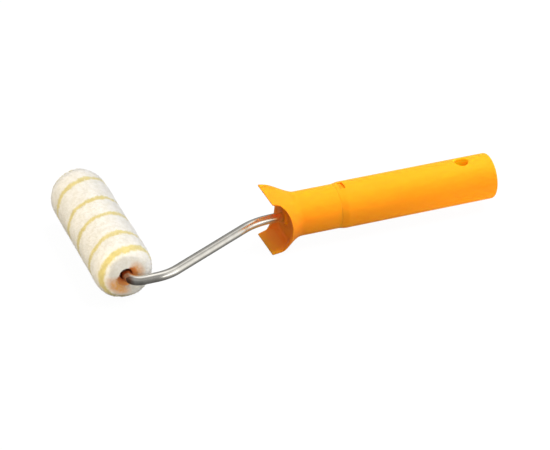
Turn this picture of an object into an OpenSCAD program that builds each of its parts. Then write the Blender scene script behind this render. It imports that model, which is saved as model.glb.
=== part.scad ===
// Small paint roller: a cranked wire frame in a two-part moulded handle with a
// winged drip guard, and a slip-on pile refill that spins on two end bearings.
// The hanging hole through the handle is the origin. +X runs along the handle
// towards its butt, +Y along the roller axle towards its free end, +Z is up,
// square to the plane of the wire.

/* [Roller refill] */
// Length of the nap over its rounded ends
nap_len = 110; // [90:1:112]
// Diameter of the nap over the pile tips
nap_d = 37.6; // [32:0.2:44]
// How far the nap overhangs each end of the core
nap_overhang = 3; // [1:0.5:5]
// Length of the rounding at each end of the nap
nap_round = 10; // [6:0.5:12]
// Outer diameter of the core tube
core_d = 17; // [16.8:0.1:17.6]
// Wall thickness of the core tube
core_wall = 1; // [0.8:0.1:1]

/* [Spindle and caps] */
// Outer diameter of the spindle tube between its ribs
spindle_d = 12.8; // [12:0.1:13.2]
// Bore of the spindle tube
spindle_bore = 10.4; // [9.6:0.1:10.8]
// Width of each gripping rib
rib_w = 2.2; // [1.6:0.1:2.6]
// Number of gripping ribs
rib_count = 4; // [3:1:8]
// Diameter of the stop flange on the near cap
flange_d = 16.5; // [16:0.1:17]
// Thickness of the stop flange
flange_t = 1.5; // [1:0.1:2]
// Diameter of the recess round the wire in the near cap
recess_d = 7.6; // [7.4:0.1:8.4]
// Depth of that recess
recess_depth = 8; // [7:0.5:9]
// Radial running clearance of the bearings on the wire
run_clear = 0.05; // [0.02:0.01:0.09]

/* [Wire frame] */
// Diameter of the wire
wire_d = 6; // [6:0.1:6.2]
// Distance from the roller's middle to the wire's run beside it
run_off = 61.7; // [60:0.1:70]
// Inner-corner bend radius on the wire's centre line, next to the roller
bend_r1 = 7; // [6:0.5:9]
// Bend radius where the crank leaves the run
bend_r2 = 30; // [20:1:34]
// Bend radius where the crank meets the handle's axis
bend_r3 = 43; // [30:1:48]
// Straight length of the run between its two bends
run_len = 8.6; // [6:0.1:12]
// Angle of the crank to the handle's axis
crank_ang = 28.7; // [28:0.1:31]
// Sideways offset of the roller's middle from the handle's axis
axle_y = 24; // [16:0.5:28]

/* [Drip guard and neck] */
// Distance along the handle from the axle to the guard's front edge
axle_to_guard = 99; // [98:0.5:104]
// Half height of the two wings at the front edge
wing_h = 18.3; // [17:0.1:20]
// Half width of the two wings at the front edge
wing_w = 12.9; // [11:0.1:14]
// Largest radius of the flare
rim_r = 23; // [22:0.1:24]
// Length of the flare from the front edge back to the neck
flare_len = 21.5; // [20:0.5:24]
// Depth of the cut-out between the wings on the wire's side
cut_near = 11.4; // [9:0.2:12.6]
// Depth of the cut-out between the wings on the other side
cut_far = 12.8; // [9:0.2:12.8]
// Wall thickness of the guard and neck
guard_wall = 2.2; // [1.8:0.1:2.4]
// Wall thickness at the wings' front edge
edge_wall = 1; // [0.8:0.1:1.8]
// Radius of the neck
neck_r = 14; // [13.9:0.1:14.2]
// Distance from the front edge to the seam with the rear grip
seam_at = 46; // [44:0.5:48]

/* [Rear grip] */
// Radius of the rear grip
grip_r = 14.7; // [14.5:0.1:15.2]
// Radius of the pole socket in the rear grip
socket_r = 12.4; // [12.3:0.1:12.6]
// Distance from the guard's front edge to the hanging hole
hole_at = 132.2; // [110:0.1:134]
// Diameter of the hanging hole
hole_d = 9; // [7:0.5:10]
// Distance from the guard's front edge to the butt
butt_at = 152; // [150:0.5:165]
// Width of each latch window
window_w = 7.6; // [6:0.2:9]

/* [Hidden] */
$fn = 72;

orange = [0.97, 0.66, 0.12];
gap = 0.05;  // between mating pieces
over = 1;    // how far a cutting shape overshoots the surface it opens

// Places in X and Y
guard_x = -hole_at;                // front edge of the guard
axle_x = guard_x - axle_to_guard;  // roller axle
run_y = axle_y - run_off;          // the wire's run beside the roller

// Along the axle, from the roller's middle
half_nap = nap_len / 2;
face = half_nap - nap_overhang;  // end faces of the core
tube_end = face - 12;            // the spindle tube ends here on both sides

// Radii about the axle
wire_r = wire_d / 2;
bearing_r = wire_r + run_clear;
core_r = core_d / 2;
core_in = core_r - core_wall;
cap_r = core_in - 0.1;

// Along the handle, from the guard's front edge
key_at = 54;      // front of the wire's flattened key
wire_end = 68;
spigot_end = 74;  // end of the collar's spigot
window_at = seam_at + 2.4;
window_len = 3.4;

// Radii about the handle
seat_r = socket_r - 0.2;  // narrower front of the grip's bore, which seats the spigot
spigot_r = seat_r - 0.1;

// Places children with local Z along the axle, from the roller's middle
module on_axle() translate([axle_x, axle_y, 0]) rotate([-90, 0, 0]) children();

// Places children with local Z along the handle, from the guard's front edge.
// Local X points down and local Y points along +Y.
module on_handle() translate([guard_x, 0, 0]) rotate([0, 90, 0]) children();

// A plain tube or disc
module ring(outer_r, inner_r, z_from, z_to)
    rotate_extrude() translate([inner_r, z_from]) square([outer_r - inner_r, z_to - z_from]);

// ---- Wire frame ----

wire_fn = 48;
lap = 0.3;             // how far a straight runs into a bend
elbow_extra = 0.02;    // extra radius of the bends, so that the straights end inside them
ears = [7, 1.7, 2.4];  // across the wire, along it, and in height
ears_gap = 0.3;        // from the ears to the bottom of the near cap's recess
key = [8, 8.4, 3.4];   // along the wire, across it, and in height

// straight length of the crank, which brings the tail onto the handle's axis
crank_len = (-run_y - (bend_r2 + bend_r3) * (1 - cos(crank_ang))) / sin(crank_ang);
// where the tail starts, along the handle from the axle
tail_from = bend_r1 + run_len + (bend_r2 + bend_r3) * sin(crank_ang)
    + crank_len * cos(crank_ang);

// A straight length of wire along +X
module rod(len, end_lap = lap)
    translate([-lap, 0, 0]) rotate([0, 90, 0])
        cylinder(r = wire_r, h = len + lap + end_lap, $fn = wire_fn);

// A bend about the origin on a given centre-line radius
module elbow(bend_r, from_ang, sweep)
    rotate([0, 0, from_ang]) rotate_extrude(angle = sweep, $fn = 96)
        translate([bend_r, 0]) circle(r = wire_r + elbow_extra, $fn = wire_fn);

// Each length from the run on is placed from the end of the one before it
module frame_wire() color("silver") translate([axle_x, run_y, 0]) union() {
    // axle, inside the roller
    translate([0, bend_r1, 0]) rotate([0, 0, 90])
        rod(run_off - bend_r1 + half_nap - 0.6, end_lap = 0);
    translate([bend_r1, bend_r1, 0]) elbow(bend_r1, 180, 90);
    translate([bend_r1, 0, 0]) rod(run_len);
    translate([bend_r1 + run_len, bend_r2, 0]) {
        elbow(bend_r2, -90, crank_ang);
        rotate([0, 0, crank_ang]) translate([0, -bend_r2, 0]) {
            rod(crank_len);
            translate([crank_len, -bend_r3, 0]) {
                elbow(bend_r3, 90 - crank_ang, crank_ang);
                // tail, held in the guard's boss
                rotate([0, 0, -crank_ang]) translate([0, bend_r3, 0])
                    rod(axle_to_guard + wire_end - tail_from, end_lap = 0);
            }
        }
    }
    // pinched ears that stop the near cap
    translate([-ears.x / 2, run_off - face + recess_depth - ears_gap - ears.y, -ears.z / 2])
        cube(ears);
    // flattened key that stops the wire turning in the handle
    translate([axle_to_guard + key_at, -run_y - key.y / 2, -key.z / 2]) cube(key);
}

// ---- Axle fastening ----

// Half section of the push nut: radius, distance beyond the core's end face
nut_outline = [
    [wire_r - 0.03, 0.3], [3.9, -0.2], [6, -0.2], [6.3, 0.1],
    [6.3, 0.6], [5.9, 0.3], [4.1, 0.3], [wire_r - 0.03, 0.8]
];
nut_slot = [2.2, 0.7, 3];
washer_t = 1;
washer_end = face - 0.35;

module push_nut() color("dimgray") on_axle()
    difference() {
        rotate_extrude() polygon([for (point = nut_outline) [point.x, face + point.y]]);
        for (i = [0 : 5]) rotate([0, 0, i * 60 + 30])
            translate([2, -nut_slot.y / 2, face - over]) cube(nut_slot);
    }

module thrust_washer() color("gainsboro") on_axle()
    ring(5.6, wire_r + 0.1, washer_end - washer_t, washer_end);

// ---- End caps ----

blank_r = 1;                              // inner radius of solids bored out later
cap_spigot_r = spindle_bore / 2 + 0.02;   // bites 0.02 into the spindle
cap_spigot_len = 9;
cap_chamfer = [0.8, 1];                   // at the spigot's tip: in radius, in length
bore_len = 40;                            // more than passes through a cap
pocket = [4, 2, 5];
pocket_depth = 1.6;

// The part of a cap that plugs the spindle; side is -1 for the near cap, 1 for the far
module cap_spigot(side) {
    tip = tube_end - cap_spigot_len;
    rotate_extrude() polygon([
        [blank_r, side * tube_end], [cap_spigot_r, side * tube_end],
        [cap_spigot_r, side * (tip + cap_chamfer.y)],
        [cap_spigot_r - cap_chamfer.x, side * tip], [blank_r, side * tip]]);
}

// Six lightening pockets round a cap
module cap_pockets(z_from)
    for (i = [0 : 5]) rotate([0, 0, i * 60])
        translate([cap_r - pocket_depth, -pocket.y / 2, z_from]) cube(pocket);

module near_end_cap() color("darkorange") on_axle()
    difference() {
        union() {
            ring(flange_d / 2, blank_r, -face, -face + flange_t);
            ring(cap_r, blank_r, -face + flange_t, -tube_end);
            cap_spigot(-1);
        }
        translate([0, 0, -face - over]) cylinder(d = recess_d, h = recess_depth + over);
        translate([0, 0, -face]) cylinder(r = bearing_r, h = bore_len);
        cap_pockets(-face + 4);
    }

module far_end_cap() color("darkorange") on_axle()
    difference() {
        union() {
            rotate_extrude() polygon([[blank_r, tube_end], [cap_r, tube_end],
                [cap_r, face - 2.6], [cap_r - 1, face - 1.4], [blank_r, face - 1.4]]);
            cap_spigot(1);
        }
        translate([0, 0, tube_end - 12]) cylinder(r = bearing_r, h = bore_len);
        cap_pockets(tube_end + 2);
    }

// ---- Spindle and refill ----

// Ribs start inside the tube's wall and slope down to it at the far end
module spindle() color("orange") on_axle() {
    root_r = spindle_d / 2 - 0.6;
    crest_r = core_in - 0.2;
    rib_end = tube_end - 1;
    union() {
        ring(spindle_d / 2, spindle_bore / 2, -tube_end + gap, tube_end - gap);
        for (i = [0 : rib_count - 1]) rotate([0, 0, i * 360 / rib_count])
            rotate([90, 0, 0]) translate([0, 0, -rib_w / 2]) linear_extrude(rib_w)
                polygon([[root_r, -rib_end], [crest_r, -rib_end],
                    [crest_r, rib_end - 4], [root_r, rib_end]]);
    }
}

module sleeve_core() color("whitesmoke") on_axle()
    ring(core_r, core_in, -face + flange_t + gap, face);

module nap_cover() color("ivory") on_axle() {
    inner_r = core_r + gap;
    crest_r = inner_r + 2.4;  // the end stands proudest here
    steps = 8;
    // rounded end from crest to full diameter: radius, distance in from the end
    rounding = [for (i = [1 : steps])
        [crest_r + (nap_d / 2 - crest_r) * sin(90 * i / steps),
         nap_round * (1 - cos(90 * i / steps))]];
    rotate_extrude() polygon(concat(
        [[inner_r, -face], [crest_r, -half_nap]],
        [for (point = rounding) [point.x, -half_nap + point.y]],
        [for (i = [steps - 1 : -1 : 0]) [rounding[i].x, half_nap - rounding[i].y]],
        [[crest_r, half_nap], [inner_r, face]]));
}

// ---- Drip guard and collar ----

lip_len = 2;      // the flare rounds in over this length at the front edge
lip_drop = 0.5;
thin_len = 9;     // the wall thins towards the front edge over this length
wall_at = 13;     // front of the inner cross wall
wall_t = 2.2;
boss_front = 11;
boss_r = 5.5;
web_t = 1.8;
web_len = 50;
wire_fit = 0.02;  // clearance round the wire and its key
lug_from = window_at + 0.3;
lug_to = window_at + window_len - 0.4;

// Outer radius of the flare at distance z behind the front edge: a rounded lip,
// then a raised cosine down to the neck
function flare_r(z) = z < lip_len ? rim_r - lip_drop * pow((lip_len - z) / lip_len, 2)
    : neck_r + (rim_r - neck_r) * (1 + cos(180 * (z - lip_len) / (flare_len - lip_len))) / 2;
// Half height of the flattened top and bottom of the flare
function flare_h(z) = wing_h - (wing_h - neck_r - 0.3) * z / flare_len;
// Wall thickness of the guard
function wall(z) = guard_wall - (guard_wall - edge_wall) * max(0, 1 - z / thin_len);

// Distances at which the outside and the front cavity are drawn
flare_z = [for (i = [0 : 11]) i * flare_len / 11];
cavity_z = [for (i = [0 : 7]) i * wall_at / 7];

// The flare's flattened top and bottom; inner = 1 gives the inside of the wall
module flats(inner, stations, z_end) {
    side = [for (z = stations) [flare_h(z) - inner * wall(z), z]];
    rotate([90, 0, 0]) translate([0, 0, -40]) linear_extrude(80) polygon(concat(
        side, [[30, z_end], [-30, z_end]],
        [for (i = [len(side) - 1 : -1 : 0]) [-side[i].x, side[i].y]]));
}

module collar_outside()
    intersection() {
        rotate_extrude() polygon(concat([[0, 0]],
            [for (z = flare_z) [flare_r(z), z]],
            [[neck_r, seam_at], [spigot_r, seam_at], [spigot_r, spigot_end - 1.5],
             [spigot_r - 0.7, spigot_end], [0, spigot_end]]));
        flats(0, flare_z, flare_len + 1 + spigot_end);
    }

module front_cavity()
    intersection() {
        rotate_extrude() polygon(concat([[0, -over], [flare_r(0) - edge_wall, -over]],
            [for (z = cavity_z) [flare_r(z) - wall(z), z]], [[0, wall_at]]));
        flats(1, concat([-over], cavity_z), wall_at + 5);
    }

// Half-oval cut-out between the wings on the +Y side
module side_cut(depth)
    translate([0, wing_w, 0]) rotate([-90, 0, 0]) linear_extrude(30)
        polygon(concat([[-wing_h, 2], [wing_h, 2]],
            [for (i = [0 : 24]) [wing_h * cos(180 * i / 24), -depth * sin(180 * i / 24)]]));

module snap_lug()
    rotate([90, 0, 0]) translate([0, 0, -window_w / 2 + 0.3]) linear_extrude(window_w - 0.6)
        polygon([[spigot_r - 1, lug_from], [spigot_r + 1.9, lug_from],
                 [spigot_r + 1.9, lug_to - 1.1], [spigot_r - 0.4, lug_to],
                 [spigot_r - 1, lug_to]]);

module guard_collar() color(orange) on_handle()
    difference() {
        union() {
            difference() {
                collar_outside();
                front_cavity();
                // hollow neck and spigot
                translate([0, 0, wall_at + wall_t]) cylinder(r = spigot_r - 2, h = spigot_end);
                side_cut(cut_far);
                rotate([0, 0, 180]) side_cut(cut_near);
            }
            // boss that holds the wire, tied to the neck by a cross of webs
            ring(boss_r, blank_r, boss_front, wire_end + 1.5);
            for (ang = [45, 135]) rotate([0, 0, ang])
                translate([-spigot_r + 1, -web_t / 2, wall_at + 1])
                    cube([2 * spigot_r - 2, web_t, web_len]);
            // top and bottom
            for (ang = [0, 180]) rotate([0, 0, ang]) snap_lug();
        }
        // bore for the wire, and the slot for its flattened key
        translate([0, 0, boss_front - over])
            cylinder(r = wire_r + wire_fit, h = wire_end + 20, $fn = wire_fn);
        translate([-key.z / 2 - wire_fit, -key.y / 2 - wire_fit, key_at - wire_fit])
            cube([key.z + 2 * wire_fit, key.y + 2 * wire_fit, key.x + 2 * wire_fit]);
    }

// ---- Rear grip ----

module grip_tube() color(orange) difference() {
    step_at = spigot_end + 0.5;       // the seat opens out into the pole socket
    cut_z = -grip_r - over;
    cut_h = 2 * (grip_r + over);
    on_handle() rotate_extrude() polygon([
        [socket_r, step_at], [seat_r, step_at], [seat_r, seam_at + gap],
        [neck_r, seam_at + gap], [grip_r - 0.15, seam_at + 3], [grip_r, seam_at + 5],
        [grip_r, butt_at - 1.6], [grip_r - 0.5, butt_at - 0.5],
        [grip_r - 1.4, butt_at], [socket_r, butt_at]]);
    // hanging hole, through both walls
    translate([0, 0, cut_z]) cylinder(d = hole_d, h = cut_h);
    // latch windows, top and bottom
    translate([guard_x + window_at, -window_w / 2, cut_z]) cube([window_len, window_w, cut_h]);
}

frame_wire();
push_nut();
thrust_washer();
near_end_cap();
far_end_cap();
spindle();
sleeve_core();
nap_cover();
guard_collar();
grip_tube();
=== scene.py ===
"""A small paint roller: orange plastic handle, bent plated wire and a striped woven pile sleeve.

The handle lies along X, its hanging hole (along Z) at the origin and its butt at +X. The roller
lies ahead of it at -X, its axle parallel to Y. The wire passes the roller's near end, at -Y, and
its free end comes out at the far end, at +Y. Shapes are worked out in mm, and meshes are in metres.
"""
import math
from itertools import product

import bpy
import numpy as np
from mathutils import Matrix, Vector


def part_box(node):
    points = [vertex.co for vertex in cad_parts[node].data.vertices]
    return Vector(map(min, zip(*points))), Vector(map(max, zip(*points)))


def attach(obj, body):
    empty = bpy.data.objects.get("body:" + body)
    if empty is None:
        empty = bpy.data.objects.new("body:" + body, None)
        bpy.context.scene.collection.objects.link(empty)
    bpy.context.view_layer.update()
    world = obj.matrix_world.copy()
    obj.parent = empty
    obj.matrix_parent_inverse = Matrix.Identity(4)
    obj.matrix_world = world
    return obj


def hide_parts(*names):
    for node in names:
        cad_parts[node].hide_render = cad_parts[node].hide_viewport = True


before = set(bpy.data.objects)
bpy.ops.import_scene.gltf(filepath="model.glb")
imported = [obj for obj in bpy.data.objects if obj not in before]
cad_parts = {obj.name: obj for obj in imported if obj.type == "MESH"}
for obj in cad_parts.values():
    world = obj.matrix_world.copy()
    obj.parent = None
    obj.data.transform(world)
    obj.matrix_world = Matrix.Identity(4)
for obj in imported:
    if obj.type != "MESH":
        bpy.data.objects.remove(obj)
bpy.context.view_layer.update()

MM = 0.001


# ---------------------------------------------------------------- layout, in mm
def box_mm(node):
    """Low and high corners of a CAD piece."""
    return [[value / MM for value in corner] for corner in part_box(node)]


guard_low, _ = box_mm("guard_collar")
tube_low, tube_high = box_mm("grip_tube")
nap_low, nap_high = box_mm("nap_cover")
wire_low, _ = box_mm("frame_wire")

WIRE_R = 3.0
GUARD_X = guard_low[0]                    # front edge of the guard
BUTT = tube_high[0] - GUARD_X             # butt, from the guard's front edge
SEAM = tube_low[0] - GUARD_X              # joint of guard and grip, from the same edge
AXLE_X = (nap_low[0] + nap_high[0]) / 2
MID_Y = (nap_low[1] + nap_high[1]) / 2    # middle of the roller
NAP_R = (nap_high[2] - nap_low[2]) / 2
HALF = (nap_high[1] - nap_low[1]) / 2     # half the roller's length
FACE = HALF - 3.0                         # end faces of the core, from the middle
RUN_Y = wire_low[1] + WIRE_R              # the wire's run beside the roller
AXLE_ORIGIN = np.array([AXLE_X, MID_Y, 0])

BUILD_SEED = 7


def rng(stream):
    return np.random.default_rng(BUILD_SEED * 1000 + stream)


# ---------------------------------------------------------------- mesh helpers
def new_mesh(name, verts, faces, normals=None):
    """A smooth mesh object from vertices in mm; faces is a list of (n, 3) or (n, 4) arrays."""
    mesh = bpy.data.meshes.new(name)
    metres = (np.asarray(verts, np.float64) * MM).astype(np.float32)
    mesh.vertices.add(len(metres))
    mesh.vertices.foreach_set("co", metres.ravel())
    loops = np.concatenate([part.ravel() for part in faces]).astype(np.int32)
    sizes = np.concatenate([np.full(len(part), part.shape[1], np.int32) for part in faces])
    starts = np.concatenate([[0], np.cumsum(sizes)[:-1]]).astype(np.int32)
    mesh.loops.add(len(loops))
    mesh.loops.foreach_set("vertex_index", loops)
    mesh.polygons.add(len(sizes))
    mesh.polygons.foreach_set("loop_start", starts)
    mesh.update(calc_edges=True)
    mesh.validate()
    mesh.polygons.foreach_set("use_smooth", np.full(len(mesh.polygons), True))
    if normals is not None:
        mesh.normals_split_custom_set_from_vertices(np.asarray(normals, np.float32))
    ob = bpy.data.objects.new(name, mesh)
    bpy.context.scene.collection.objects.link(ob)
    return ob


def attribute(ob, name, values):
    layer = ob.data.attributes.new(name, "FLOAT", "POINT")
    layer.data.foreach_set("value", np.asarray(values, np.float32))


def grid_quads(rows, columns, closed):
    """Quads over a rows x columns grid of vertices; closed says which directions join up."""
    i, j = np.meshgrid(np.arange(rows - 1 + closed[0]), np.arange(columns - 1 + closed[1]),
                       indexing="ij")
    this_row, next_row = i * columns, (i + 1) % rows * columns
    next_j = (j + 1) % columns
    corners = [this_row + j, this_row + next_j, next_row + next_j, next_row + j]
    return np.stack(corners, -1).reshape(-1, 4)


# Rounded set operations on distance fields, negative inside
def meet(first, second, fillet):
    one, two = np.maximum(fillet + first, 0), np.maximum(fillet + second, 0)
    return np.minimum(-fillet, np.maximum(first, second)) + np.sqrt(one * one + two * two)


def join(first, second, fillet):
    one, two = np.maximum(fillet - first, 0), np.maximum(fillet - second, 0)
    return np.maximum(fillet, np.minimum(first, second)) - np.sqrt(one * one + two * two)


def cut(body, tool, fillet):
    return meet(body, -tool, fillet)


def smoothstep(t):
    t = np.clip(t, 0, 1)
    return t * t * (3 - 2 * t)


CORNERS = list(product((0, 1), repeat=3))


def surface_net(name, field, xs, ys, zs):
    """Meshes the zero surface of field(x, y, z) on a rectilinear grid by naive surface nets,
    then pulls each vertex onto the surface and takes its normal from the field."""
    volume = np.empty((len(xs), len(ys), len(zs)), np.float32)
    slab = 16                              # grid planes sampled at a time, to save memory
    for i in range(0, len(xs), slab):
        volume[i:i + slab] = field(*np.meshgrid(xs[i:i + slab], ys, zs, indexing="ij"))
    inside = volume < 0
    count = np.zeros(tuple(n - 1 for n in volume.shape), np.int8)
    for a, b, c in CORNERS:
        count += inside[a:len(xs) - 1 + a, b:len(ys) - 1 + b, c:len(zs) - 1 + c]
    crossed = (count > 0) & (count < 8)
    index = np.full(crossed.shape, -1, np.int32)
    i, j, k = np.nonzero(crossed)
    index[i, j, k] = np.arange(len(i))

    # each vertex starts at the mean of the crossings on its cell's edges
    value, place = {}, {}
    for a, b, c in CORNERS:
        value[a, b, c] = volume[i + a, j + b, k + c].astype(np.float64)
        place[a, b, c] = np.stack([xs[i + a], ys[j + b], zs[k + c]], 1)
    points = np.zeros((len(i), 3))
    hits = np.zeros(len(i))
    for start, axis in product(CORNERS, range(3)):
        if start[axis]:
            continue
        end = start[:axis] + (1,) + start[axis + 1:]
        before, after = value[start], value[end]
        cross = (before < 0) != (after < 0)
        t = np.where(cross, before / np.where(cross, before - after, 1), 0)[:, None]
        points += np.where(cross[:, None], place[start] * (1 - t) + place[end] * t, 0)
        hits += cross
    points /= hits[:, None]

    # one quad round each grid edge that crosses the surface
    quads = []
    for axis in range(3):
        lower, upper = [slice(None)] * 3, [slice(None)] * 3
        lower[axis], upper[axis] = slice(0, -1), slice(1, None)
        starts_in, ends_in = inside[tuple(lower)], inside[tuple(upper)]
        b, c = (axis + 1) % 3, (axis + 2) % 3
        edges = np.array(np.nonzero(starts_in != ends_in))
        kept = (edges[b] > 0) & (edges[c] > 0)
        kept &= (edges[b] < volume.shape[b] - 1) & (edges[c] < volume.shape[c] - 1)
        edges = edges[:, kept]
        outward = starts_in[tuple(edges)]
        ring = []
        for shift_b, shift_c in ((-1, -1), (0, -1), (0, 0), (-1, 0)):
            cell = edges.copy()
            cell[b] += shift_b
            cell[c] += shift_c
            ring.append(index[tuple(cell)])
        quad = np.stack(ring, 1)
        quad[~outward] = quad[~outward][:, ::-1]
        quads.append(quad)

    reach = 0.02                           # half the span of each slope measurement

    def gradient(at):
        slope = np.empty_like(at)
        for axis in range(3):
            nudge = np.zeros(3)
            nudge[axis] = reach
            rise = field(*(at + nudge).T) - field(*(at - nudge).T)
            slope[:, axis] = rise / (2 * reach)
        return slope

    smallest = min(np.diff(xs).min(), np.diff(ys).min(), np.diff(zs).min())
    for _ in range(3):
        slope = gradient(points)
        move = field(*points.T)[:, None] * slope / np.maximum((slope * slope).sum(1), 0.2)[:, None]
        length = np.linalg.norm(move, axis=1)
        move *= np.minimum(1, 0.6 * smallest / np.maximum(length, 1e-9))[:, None]
        points -= move
    slope = gradient(points)
    normals = slope / np.maximum(np.linalg.norm(slope, axis=1), 1e-9)[:, None]
    return new_mesh(name, points, [np.concatenate(quads)], normals)


def spans(*parts):
    """Grid lines: spans((start, end, step), ...) joined end to end."""
    lines = []
    for start, end, step in parts:
        pieces = max(1, int(round((end - start) / step)))
        lines += list(np.linspace(start, end, pieces + 1)[:-1])
    lines.append(parts[-1][1])
    return np.array(lines)


def round_axle(radius, shift, angle):
    """Points at a radius and angle about the axle, shift along +Y from the roller's middle;
    they still lack AXLE_ORIGIN."""
    parts = radius * np.cos(angle), shift, radius * np.sin(angle)
    return np.stack(np.broadcast_arrays(*parts), -1)


def lathed_ring(name, radii, shifts, fillet, segments):
    """Turns a round-cornered rectangle about the axle."""
    (inner, outer), (low, high) = radii, shifts
    corners = np.array([(inner, low), (outer, low), (outer, high), (inner, high)])
    outline = []
    for i, corner in enumerate(corners):
        back = corner + np.sign(corners[i - 1] - corner) * fillet
        ahead = corner + np.sign(corners[(i + 1) % 4] - corner) * fillet
        for t in np.arange(7) / 6:
            outline.append((1 - t) ** 2 * back + 2 * t * (1 - t) * corner + t * t * ahead)
    longest = 3.0                          # long sides are divided
    loop = []
    for i, start in enumerate(outline):
        side = outline[(i + 1) % len(outline)] - start
        pieces = math.ceil(np.linalg.norm(side) / longest)
        loop += [start + side * j / pieces for j in range(pieces)]
    radius, shift = np.array(loop).T
    angle = np.arange(segments) * 2 * math.pi / segments
    verts = round_axle(radius[None], shift[None], angle[:, None]) + AXLE_ORIGIN
    quads = grid_quads(segments, len(loop), closed=(True, True))
    return new_mesh(name, verts.reshape(-1, 3), [quads[:, [1, 2, 3, 0]]])


# ---------------------------------------------------------------- shader helpers
class Graph:
    """Adds nodes to a shader tree. An input takes a number, a colour (r, g, b) or a socket."""

    def __init__(self, tree):
        self.tree = tree

    def set(self, node, inputs):
        for key, value in inputs.items():
            socket = node.inputs[key]
            if isinstance(value, bpy.types.NodeSocket):
                self.tree.links.new(value, socket)
            elif socket.type == "RGBA":
                socket.default_value = (*value, 1.0)
            else:
                socket.default_value = value

    def node(self, kind, inputs=()):
        node = self.tree.nodes.new("ShaderNode" + kind)
        self.set(node, dict(inputs))
        return node

    def mapped(self, scale=(1, 1, 1)):
        place = self.node("TexCoord").outputs["Object"]
        return self.node("Mapping", {"Vector": place, "Scale": scale}).outputs[0]

    def split(self, vector):
        return self.node("SeparateXYZ", {0: vector}).outputs

    def place(self):
        """Object x, y and z, in metres."""
        return self.split(self.node("TexCoord").outputs["Object"])

    def geometry(self, output):
        return self.node("NewGeometry").outputs[output]

    def noise(self, vector, scale, detail, rough=0.5):
        return self.node("TexNoise", {"Vector": vector, "Scale": scale, "Detail": detail,
                                      "Roughness": rough}).outputs["Fac"]

    def remap(self, value, span, to=(0, 1)):
        """Carries value from span to to, held within its ends."""
        return self.node("MapRange", {"Value": value, "From Min": span[0], "From Max": span[1],
                                      "To Min": to[0], "To Max": to[1]}).outputs[0]

    def mix(self, factor, first, second, mode="MIX"):
        node = self.node("Mix")
        node.data_type = "RGBA"
        node.blend_type = mode
        # inputs 6 and 7 and output 2 are the colour ones
        self.set(node, {0: factor, 6: first, 7: second})
        return node.outputs[2]

    def tint(self, factor, base, colour):
        """base, multiplied by colour where factor is 1."""
        return self.mix(factor, base, self.mix(1.0, base, colour, "MULTIPLY"))

    def math(self, operation, *values):
        node = self.node("Math")
        node.operation = operation
        self.set(node, dict(enumerate(values)))
        return node.outputs[0]

    def times(self, first, *others):
        for other in others:
            first = self.math("MULTIPLY", first, other)
        return first

    def plus(self, first, *others):
        for other in others:
            first = self.math("ADD", first, other)
        return first

    def rest(self, value):
        return self.math("SUBTRACT", 1.0, value)

    def hypotenuse(self, first, second):
        squares = self.plus(self.times(first, first), self.times(second, second))
        return self.math("SQRT", squares)


class Look(Graph):
    """A material built round one Principled shader."""

    def __init__(self, name):
        self.material = bpy.data.materials.new(name)
        self.material.use_nodes = True
        super().__init__(self.material.node_tree)
        self.tree.nodes.clear()
        self.output = self.node("OutputMaterial")
        self.bsdf = self.node("BsdfPrincipled")
        self.set(self.output, {"Surface": self.bsdf.outputs[0]})

    def shade(self, inputs):
        self.set(self.bsdf, inputs)

    def base(self):
        return self.bsdf.inputs["Base Color"].links[0].from_socket

    def bump(self, height, strength, distance):
        bump = self.node("Bump", {"Height": height, "Strength": strength, "Distance": distance})
        self.shade({"Normal": bump.outputs[0]})

    def tint_where(self, mask, colour):
        """Multiplies the base colour by colour where mask(look, x, y, z) is 1."""
        base = self.base()
        self.shade({"Base Color": self.tint(mask(self, *self.place()), base, colour)})


def mm(*values):
    """Lengths in mm, as the metres that shaders see."""
    return tuple(value * MM for value in values)


def linear(*srgb):
    return tuple(((c + 0.055) / 1.055) ** 2.4 for c in srgb)


def surround(g, x, y, z):
    """What a polished surface sees in direction (x, y, z): a dim room, a white card standing low
    towards the butt's side and a soft box overhead."""
    room = g.remap(z, span=(-0.75, -0.05), to=(0.21, 0.35))
    # darker low down towards the roller, which the elbow and the run see
    low = g.times(g.remap(x, span=(0.12, 0.48), to=(0.50, 0.0)),
                  g.remap(z, span=(0.10, 0.42), to=(1.0, 0.0)))
    room = g.times(room, g.rest(low))
    card = g.times(g.remap(x, span=(0.36, 0.74), to=(0.0, 0.72)),
                   g.remap(y, span=(0.10, -0.35)),
                   g.remap(z, span=(-0.66, -0.05)))
    box_axis = 0.25, 0.20, 0.945           # direction of the soft box
    aim = g.plus(*[g.times(axis, share) for axis, share in zip((x, y, z), box_axis)])
    box = g.remap(aim, span=(0.88, 0.975), to=(0.0, 0.85))
    return g.plus(room, card, box)


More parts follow.
